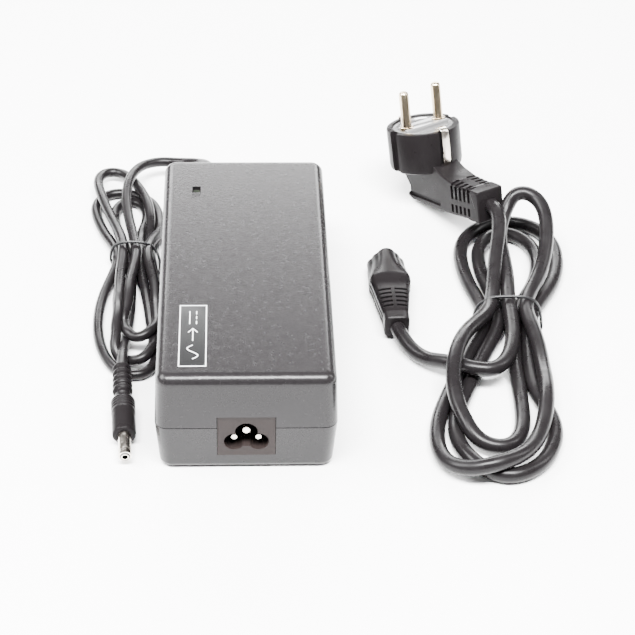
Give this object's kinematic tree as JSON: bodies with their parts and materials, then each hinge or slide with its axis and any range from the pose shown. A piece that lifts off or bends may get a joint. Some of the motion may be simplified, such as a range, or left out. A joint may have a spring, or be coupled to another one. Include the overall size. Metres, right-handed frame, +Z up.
{
  "type": "laptop power adapter",
  "caption": "Slab-shaped laptop power supply brick with a three-pole mains inlet, a captive low-voltage lead ending in a barrel plug, and a loose mains lead with an angled plug",
  "frame": {"origin": "centre of the brick's underside, on the surface it stands on", "axes": "+Z up, +Y along the brick from the mains inlet to the DC lead's strain relief, +X to the right seen from the inlet's side"},
  "size_m": [0.2307, 0.2414, 0.058],
  "materials": {
    "case_plastic": "satin fine-spark grey ABS",
    "badge_plastic": "smooth dark grey plate with white marks",
    "label_film": "blank silver-grey film",
    "lens_plastic": "smoked light guide",
    "inlet_plastic": "dark grey PBT",
    "pin_nickel": "nickel-plated brass",
    "cord_pvc": "satin black PVC",
    "moulded_pvc": "satin black PVC, moulded on",
    "plug_face_plastic": "glossy dark grey carrier",
    "insulator_plastic": "black nylon",
    "tie_wire": "black plastic-coated wire",
    "board_laminate": "green glass-epoxy laminate",
    "capacitor_sleeve": "shrink sleeve over an aluminium can",
    "film_box": "yellow box capacitor",
    "disc_ceramic": "blue coated ceramic",
    "semiconductor": "black epoxy",
    "sink_metal": "bare aluminium",
    "ferrite": "dark ferrite",
    "winding_copper": "enamelled copper",
    "bobbin_plastic": "phenolic bobbin",
    "screw_steel": "zinc-plated steel",
    "fish_paper": "insulating sheet",
    "lamp_epoxy": "green-tinted epoxy with tinned legs"
  },
  "bodies": {
    "adapter": {"top_cover": "case_plastic", "bottom_cover": "case_plastic", "badge_plate": "badge_plastic", "rating_label": "label_film", "lamp_lens": "lens_plastic", "lamp": "lamp_epoxy", "inlet_housing": "inlet_plastic", "inlet_line_pin": "pin_nickel", "inlet_neutral_pin": "pin_nickel", "inlet_earth_pin": "pin_nickel", "circuit_board": "board_laminate", "bulk_capacitor": "capacitor_sleeve", "output_capacitors": "capacitor_sleeve", "x_capacitor": "film_box", "y_capacitors": "disc_ceramic", "bridge_rectifier": "semiconductor", "fuse": "film_box", "thermistor": "disc_ceramic", "control_chip": "semiconductor", "optocouplers": "semiconductor", "choke_core": "ferrite", "choke_winding": "winding_copper", "transformer_core": "ferrite", "transformer_bobbin": "bobbin_plastic", "transformer_winding": "winding_copper", "primary_heatsink": "sink_metal", "secondary_heatsink": "sink_metal", "switching_transistor": "semiconductor", "output_rectifier": "semiconductor", "heatsink_screws": "screw_steel", "insulation_sheet": "fish_paper", "output_wires": "cord_pvc", "dc_strain_relief": "moulded_pvc", "dc_cord_run": "cord_pvc", "dc_cord_hank": "cord_pvc", "dc_tie": "tie_wire", "dc_plug_grip": "moulded_pvc", "dc_plug_barrel": "pin_nickel", "dc_plug_insulator": "insulator_plastic", "dc_plug_contact": "pin_nickel"},
    "mains_lead": {"connector_body": "moulded_pvc", "connector_contacts": "pin_nickel", "plug_body": "moulded_pvc", "plug_face": "plug_face_plastic", "plug_pins": "pin_nickel", "plug_earth_strips": "pin_nickel", "mains_cord_run": "cord_pvc", "mains_cord_hank": "cord_pvc", "mains_cord_tail": "cord_pvc", "mains_tie": "tie_wire"}
  },
  "joints": [
    {"name": "mains_lead_lift", "type": "slide", "parent": "adapter", "child": "mains_lead", "axis": [0, 0, 1], "range_m": [0, 0.1]}
  ]
}
